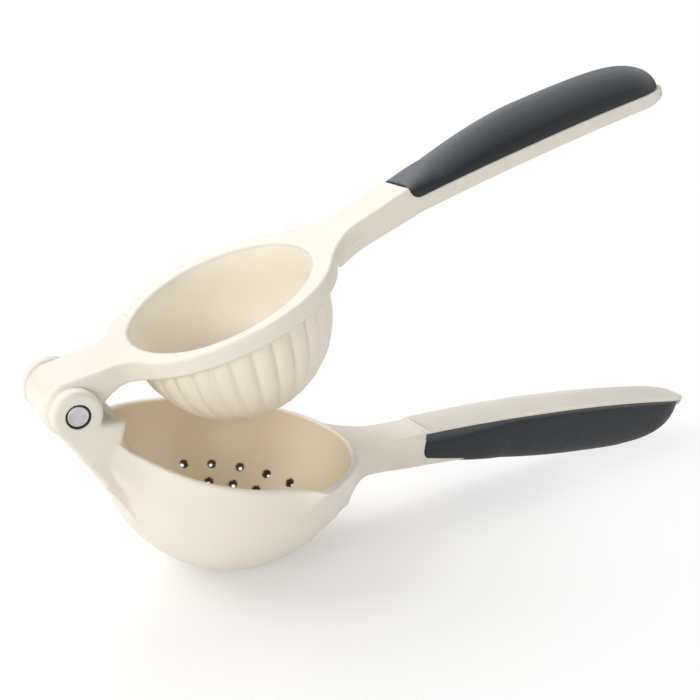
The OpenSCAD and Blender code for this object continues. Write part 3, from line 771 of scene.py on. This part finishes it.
def pin():
    """The pin, its head turned with a chamfer and a faint dish."""
    low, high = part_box("hinge_pin")
    face, tail = -low[1] / MM, -high[1] / MM
    neck, rim = face - PIN_HEAD_T, face - 0.02
    profile = [(PIN_R, tail), (PIN_R, neck), (PIN_HEAD_R, neck), (PIN_HEAD_R, face - PIN_CHAMFER),
               (PIN_HEAD_R - PIN_CHAMFER, rim), (PIN_HEAD_R - 0.5, rim)]
    profile += [(r, face - 0.04 - 0.11 * (1 - (r / 2.4) ** 2)) for r in (2.3, 1.8, 1.2, 0.6, 0.02)]
    return turned("hinge_pin_turned", profile, "lower")


def bush():
    """The dark ring round the pin's head."""
    face = HINGE_W / 2
    inner, outer = PIN_HEAD_R + 0.03, BUSH_R + 0.02
    root, front = face - BUSH_DEPTH, face - 0.12
    profile = [(inner, root), (inner, face - 0.25), (PIN_HEAD_R + 0.12, front),
               (BUSH_R - 0.1, front), (outer, face - 0.3), (outer, root), (inner, root)]
    return turned("near_ear_ring", profile, "lower")


# ---- Materials ----
BODY_LOW, BODY_HIGH = (238, 231, 218), (242, 236, 224)
PRESS_LOW, PRESS_HIGH = (240, 232, 217), (244, 237, 223)
# Painted shade: a darker, warmer cream for inside the bowl, standing in for the shade and bounced
# light there.
BOWL_PAINTED_SHADE = (231, 219, 195)
RING_PITCH = 0.00012


def linear(c):
    """A colour channel of 0 to 255 in linear light."""
    c = c / 255
    return c / 12.92 if c <= 0.04045 else ((c + 0.055) / 1.055) ** 2.4


def rgb(r, g, b):
    return (linear(r), linear(g), linear(b), 1)


class Nodes:
    """Short calls that add and link the nodes of one material."""

    def __init__(self, name):
        self.material = bpy.data.materials.new(name)
        self.material.use_nodes = True
        self.tree = self.material.node_tree
        self.shader = self.tree.nodes["Principled BSDF"]
        spot = self.add("ShaderNodeTexCoord")
        self.place, self.facing = spot.outputs["Object"], spot.outputs["Normal"]

    def add(self, kind, **values):
        node = self.tree.nodes.new(kind)
        for key, value in values.items():
            setattr(node, key, value)
        return node

    def link(self, a, b):
        self.tree.links.new(a, b)

    def noise(self, scale, detail=3, rough=0.5):
        node = self.add("ShaderNodeTexNoise")
        node.inputs["Scale"].default_value = scale
        node.inputs["Detail"].default_value = detail
        node.inputs["Roughness"].default_value = rough
        self.link(self.place, node.inputs["Vector"])
        return node.outputs["Fac"]

    def mix(self, share, a, b):
        """Mixes two colours, each a plain one or another node's output."""
        node = self.add("ShaderNodeMix", data_type="RGBA")
        for key, colour in (("A", a), ("B", b)):
            if isinstance(colour, tuple):
                node.inputs[key].default_value = colour
            else:
                self.link(colour, node.inputs[key])
        self.link(share, node.inputs["Factor"])
        return node.outputs["Result"]

    def span(self, value, low, high, out_low, out_high):
        node = self.add("ShaderNodeMapRange")
        ends = {"From Min": low, "From Max": high, "To Min": out_low, "To Max": out_high}
        for key, number in ends.items():
            node.inputs[key].default_value = number
        self.link(value, node.inputs["Value"])
        return node.outputs["Result"]

    def bump(self, height, strength, distance, after=None):
        node = self.add("ShaderNodeBump")
        node.inputs["Strength"].default_value = strength
        node.inputs["Distance"].default_value = distance
        self.link(height, node.inputs["Height"])
        if after is not None:
            self.link(after, node.inputs["Normal"])
        return node.outputs["Normal"]


def paint_bowl_shade(m, colour):
    """A colour painted darker and warmer inside the bowl: painted shade and bounced light from wall
    to wall.
    """
    reach = m.add("ShaderNodeVectorMath", operation="DISTANCE")
    reach.inputs[1].default_value = (0, 0, FOOT_DEPTH * MM)
    m.link(m.place, reach.inputs[0])
    share = m.span(reach.outputs["Value"], (BOWL_R + 0.2) * MM, (BOWL_R + 0.8) * MM, 0, 1)
    return m.mix(share, rgb(*BOWL_PAINTED_SHADE), colour)


def moulded(name, low, high, roughness, bowl=False):
    """Satin moulded plastic: a soft cloud of colour and a very fine grain in its gloss."""
    m = Nodes(name)
    cloud = m.span(m.noise(35, 4, 0.55), 0.35, 0.65, 0, 1)
    colour = m.mix(cloud, rgb(*low), rgb(*high))
    # With bowl set, the colour gets painted shade inside the bowl.
    m.link(paint_bowl_shade(m, colour) if bowl else colour, m.shader.inputs["Base Color"])
    gloss = m.span(m.noise(900, 3), 0.3, 0.7, roughness - 0.05, roughness + 0.06)
    m.link(gloss, m.shader.inputs["Roughness"])
    fine = m.bump(m.noise(2600, 2), 0.12, 0.00004)
    m.link(m.bump(m.noise(160, 2), 0.10, 0.0002, fine), m.shader.inputs["Normal"])
    m.shader.inputs["IOR"].default_value = 1.47
    m.shader.inputs["Subsurface Weight"].default_value = 0.12
    m.shader.inputs["Subsurface Radius"].default_value = (0.004, 0.003, 0.002)
    m.shader.inputs["Subsurface Scale"].default_value = 1.0
    return m.material


def soft_touch():
    """Slate soft-touch rubber: a fine leathery grain, and a painted sheen: paler where it faces up,
    darker on its sides.
    """
    m = Nodes("slate soft-touch")
    speck = m.span(m.noise(1500, 4, 0.7), 0.3, 0.7, 0, 1)
    # Lit and shaded copies of one slate: the dark side is painted shade, the pale crown is painted
    # sheen on faces that point up.
    side = m.mix(speck, rgb(30, 34, 38), rgb(35, 39, 43))
    crown = m.mix(speck, rgb(90, 94, 98), rgb(100, 104, 108))
    facing = m.add("ShaderNodeSeparateXYZ")
    m.link(m.facing, facing.inputs[0])
    painted_sheen_share = m.span(facing.outputs["Z"], 0.2, 0.7, 0, 1)
    m.link(m.mix(painted_sheen_share, side, crown), m.shader.inputs["Base Color"])
    m.link(m.span(m.noise(700, 3), 0.3, 0.7, 0.46, 0.58), m.shader.inputs["Roughness"])
    m.link(m.bump(m.noise(2200, 3, 0.6), 0.35, 0.00008), m.shader.inputs["Normal"])
    m.shader.inputs["IOR"].default_value = 1.45
    return m.material


def turned_steel():
    """Turned steel: fine rings round the hinge axis and a brushed gloss."""
    m = Nodes("turned steel")
    shift = m.add("ShaderNodeVectorMath", operation="SUBTRACT")
    shift.inputs[1].default_value = joint["pos_m"]
    m.link(m.place, shift.inputs[0])
    flat = m.add("ShaderNodeVectorMath", operation="MULTIPLY")
    flat.inputs[1].default_value = (1, 0, 1)
    m.link(shift.outputs[0], flat.inputs[0])
    reach = m.add("ShaderNodeVectorMath", operation="LENGTH")
    m.link(flat.outputs[0], reach.inputs[0])
    wave = m.add("ShaderNodeMath", operation="SINE")
    times = m.add("ShaderNodeMath", operation="MULTIPLY")
    times.inputs[1].default_value = 2 * math.pi / RING_PITCH
    m.link(reach.outputs["Value"], times.inputs[0])
    m.link(times.outputs[0], wave.inputs[0])
    rings = m.bump(wave.outputs[0], 0.25, 0.00001)
    m.link(m.bump(m.noise(1500, 2), 0.1, 0.00002, rings), m.shader.inputs["Normal"])
    colour = m.mix(m.noise(600, 3), rgb(188, 188, 186), rgb(208, 207, 205))
    m.link(colour, m.shader.inputs["Base Color"])
    m.shader.inputs["Metallic"].default_value = 1
    m.shader.inputs["Anisotropic"].default_value = 0.75
    around = m.add("ShaderNodeTangent", direction_type="RADIAL", axis="Y")
    m.link(around.outputs[0], m.shader.inputs["Tangent"])
    m.link(m.span(m.noise(900, 2), 0.3, 0.7, 0.28, 0.4), m.shader.inputs["Roughness"])
    return m.material


def plain_plastic(name, low, high, roughness):
    """Plain plastic for the small pieces, with an even colour and gloss; also the painted shade in
    the drain holes.
    """
    m = Nodes(name)
    m.link(m.mix(m.noise(300, 3), low, high), m.shader.inputs["Base Color"])
    gloss = m.span(m.noise(900, 2), 0.3, 0.7, roughness - 0.05, roughness + 0.05)
    m.link(gloss, m.shader.inputs["Roughness"])
    m.link(m.bump(m.noise(2000, 2), 0.15, 0.00004), m.shader.inputs["Normal"])
    return m.material


bowl_plastic = moulded("cream bowl plastic", BODY_LOW, BODY_HIGH, 0.33, bowl=True)
body_plastic = moulded("cream body plastic", BODY_LOW, BODY_HIGH, 0.33)
press_plastic = moulded("cream press plastic", PRESS_LOW, PRESS_HIGH, 0.36)
slate = soft_touch()
steel = turned_steel()
black_plastic = plain_plastic("brown-black acetal", rgb(40, 34, 26), rgb(48, 41, 32), 0.4)
# Painted shade for the walls of the drain holes: a dark brown in place of the shadow inside them.
drain_painted_shade = plain_plastic("shaded drain wall", rgb(92, 78, 56), rgb(104, 90, 66), 0.5)
washer_plastic = plain_plastic("natural acetal", rgb(226, 221, 208), rgb(233, 229, 218), 0.4)


# ---- Pieces ----
def fit(piece, body, material, slot, *nodes):
    """Gives a piece its material and body, and hides the nodes that it stands in for; its slot is
    not used.
    """
    piece.data.materials.append(material)
    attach(piece, body)
    if nodes:
        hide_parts(*nodes)


def dress_node(name, material):
    """Puts a material on a CAD node that shows as it is."""
    node = frame["nodes"][name]
    node.data.materials.clear()
    node.data.materials.append(material)


def paint_drain_shade(piece):
    """Paints the walls of the drain holes dark: painted shade, in place of the shadow inside the
    holes.
    """
    count = len(piece.data.polygons)
    centre = np.empty(count * 3)
    piece.data.polygons.foreach_get("center", centre)
    level = (centre.reshape(-1, 3) / MM - [0, 0, FOOT_DEPTH]) @ LOWER_TURN
    reach = np.linalg.norm(level, axis=1)
    inside = (drains(*level.T) < 0.05) & (reach > BOWL_R + 0.35) & (reach < BOWL_OUT + 0.1)
    piece.data.materials.append(drain_painted_shade)
    piece.data.polygons.foreach_set("material_index", inside.astype(np.int32))


def build_pieces():
    lower = field_piece("lower_moulding", lower_field, (-59, -47, -39), (90, 41, 21.5), "lower")
    fit(lower, "lower", bowl_plastic, "body_cream", "lower_body")
    paint_drain_shade(lower)
    upper = field_piece("upper_moulding", upper_field, (-59, -35, -3), (170, 35, 22), "upper")
    fit(upper, "upper", body_plastic, "body_cream", "upper_body")
    fit(lower_cover(), "lower", body_plastic, "body_cream", "lower_handle_cover")
    fit(lower_grip(), "lower", slate, "grip_slate", "lower_grip")
    fit(upper_grip(), "upper", slate, "grip_slate", "upper_grip")
    fit(press_dome(), "upper", press_plastic, "press_cream", "press_dome")
    fit(pin(), "lower", steel, "pin_steel", "hinge_pin")
    fit(bush(), "lower", black_plastic, "bush_black", "near_ear_bush")
    plain = {"upper_handle_cover": body_plastic, "pin_cap": steel, "far_ear_bush": black_plastic,
             "barrel_bush": black_plastic, "near_thrust_washer": washer_plastic,
             "far_thrust_washer": washer_plastic}
    for name, material in plain.items():
        dress_node(name, material)


# ---- Stage ----
VIEW_AZIMUTH = math.radians(-30.2)
VIEW_ELEVATION = math.radians(19.3)
VIEW_DISTANCE = 0.304
VIEW_TARGET = Vector((0.04019, 0, 0.05707))
FOCAL_PIXELS = 1000
IMAGE_PIXELS = 700
SENSOR_WIDTH = 36
FLOOR_RADIUS = 3.0
FLOOR_LIFT = 0.26
# The object's shadow fades by this share between the first two distances, and the rest of the
# way to the third, in metres.
SHADOW_FADE = 0.7
FADE_START, FADE_MIDDLE, FADE_END = 0.025, 0.13, 0.5
SKY_STRENGTH = 0.03
LAMP_TARGET = Vector((0.04, 0, 0.05))
LAMP_DISTANCE = 1.2
# Soft boxes: name, azimuth and elevation in degrees, size in metres, power in watts.
LAMPS = (("key", -130, 45, 1.1, 10.8),
         ("left", -100, 30, 0.8, 1.5),
         ("front left", -66, 17, 0.4, 3.1),
         ("front", -23, 15, 0.8, 5.4),
         ("back", 168, 38, 1.0, 4.7),
         ("right", 108, 42, 0.8, 3.1),
         ("low right", 68, 20, 0.8, 2.9))


def outward(azimuth, elevation):
    """Unit vector to a place round the object; azimuth 0 stands on its -Y side."""
    return Vector((math.sin(azimuth) * math.cos(elevation),
                   -math.cos(azimuth) * math.cos(elevation), math.sin(elevation)))


def stand(name, data, target, distance, away):
    """Adds a camera or lamp that looks at a target from a distance."""
    obj = bpy.data.objects.new(name, data)
    obj.matrix_world = Matrix.Translation(target + distance * away) @ \
        away.to_track_quat("Z", "Y").to_matrix().to_4x4()
    bpy.context.scene.collection.objects.link(obj)
    return obj


def camera():
    data = bpy.data.cameras.new("camera")
    data.sensor_width = SENSOR_WIDTH
    data.sensor_fit = "HORIZONTAL"
    data.lens = SENSOR_WIDTH * FOCAL_PIXELS / IMAGE_PIXELS
    data.clip_start = 0.01
    data.clip_end = 20
    away = outward(VIEW_AZIMUTH, VIEW_ELEVATION)
    bpy.context.scene.camera = stand("camera", data, VIEW_TARGET, VIEW_DISTANCE, away)


def floor_material():
    """A pale floor that the eye and gloss see fade to white away from the object."""
    m = Nodes("pale floor")
    m.shader.inputs["Base Color"].default_value = (0.8, 0.79, 0.78, 1)
    m.shader.inputs["Roughness"].default_value = 0.9
    m.shader.inputs["Specular IOR Level"].default_value = 0.1
    white = m.add("ShaderNodeEmission")
    white.inputs["Color"].default_value = (1, 1, 1, 1)
    white.inputs["Strength"].default_value = 1
    lift = m.add("ShaderNodeEmission")
    lift.inputs["Strength"].default_value = FLOOR_LIFT
    lifted = m.add("ShaderNodeAddShader")
    m.link(m.shader.outputs[0], lifted.inputs[0])
    m.link(lift.outputs[0], lifted.inputs[1])
    path = m.add("ShaderNodeLightPath")
    seen = m.add("ShaderNodeMath", operation="MAXIMUM")
    m.link(path.outputs["Is Camera Ray"], seen.inputs[0])
    m.link(path.outputs["Is Glossy Ray"], seen.inputs[1])
    away = m.add("ShaderNodeVectorMath", operation="LENGTH")
    m.link(m.place, away.inputs[0])
    fade = m.add("ShaderNodeMath", operation="ADD")
    m.link(m.span(away.outputs["Value"], FADE_START, FADE_MIDDLE, 0, SHADOW_FADE), fade.inputs[0])
    m.link(m.span(away.outputs["Value"], FADE_MIDDLE, FADE_END, 0, 1 - SHADOW_FADE), fade.inputs[1])
    faded = m.add("ShaderNodeMixShader")
    m.link(fade.outputs[0], faded.inputs[0])
    m.link(lifted.outputs[0], faded.inputs[1])
    m.link(white.outputs[0], faded.inputs[2])
    whole = m.add("ShaderNodeMixShader")
    m.link(seen.outputs[0], whole.inputs[0])
    m.link(m.shader.outputs[0], whole.inputs[1])
    m.link(faded.outputs[0], whole.inputs[2])
    m.link(whole.outputs[0], m.tree.nodes["Material Output"].inputs["Surface"])
    return m.material


def floor():
    """A pale round floor under the object, which keeps its shadow."""
    mesh = bpy.data.meshes.new("floor")
    turn = np.linspace(0, 2 * math.pi, 96, endpoint=False)
    ring = [(FLOOR_RADIUS * math.cos(a), FLOOR_RADIUS * math.sin(a), 0) for a in turn]
    mesh.from_pydata(ring, [], [list(range(len(ring)))])
    mesh.materials.append(floor_material())
    obj = bpy.data.objects.new("floor", mesh)
    bpy.context.scene.collection.objects.link(obj)


def world():
    """A faint warm sky for the light, and white where it is seen."""
    sky = bpy.data.worlds.new("studio")
    sky.use_nodes = True
    tree = sky.node_tree
    light = tree.nodes["Background"]
    light.inputs["Color"].default_value = (1, 0.985, 0.96, 1)
    light.inputs["Strength"].default_value = SKY_STRENGTH
    white = tree.nodes.new("ShaderNodeBackground")
    white.inputs["Color"].default_value = (1, 1, 1, 1)
    white.inputs["Strength"].default_value = 1
    path = tree.nodes.new("ShaderNodeLightPath")
    seen = tree.nodes.new("ShaderNodeMath")
    seen.operation = "MAXIMUM"
    tree.links.new(path.outputs["Is Camera Ray"], seen.inputs[0])
    tree.links.new(path.outputs["Is Transmission Ray"], seen.inputs[1])
    mixed = tree.nodes.new("ShaderNodeMixShader")
    tree.links.new(seen.outputs[0], mixed.inputs[0])
    tree.links.new(light.outputs[0], mixed.inputs[1])
    tree.links.new(white.outputs[0], mixed.inputs[2])
    tree.links.new(mixed.outputs[0], tree.nodes["World Output"].inputs["Surface"])
    bpy.context.scene.world = sky


def lights():
    for name, azimuth, elevation, size, power in LAMPS:
        data = bpy.data.lights.new(name, "AREA")
        data.shape = "SQUARE"
        data.size = size
        data.energy = power
        away = outward(math.radians(azimuth), math.radians(elevation))
        stand(name, data, LAMP_TARGET, LAMP_DISTANCE, away)


bpy.context.scene.view_settings.view_transform = "Standard"
camera()
floor()
world()
lights()
build_pieces()
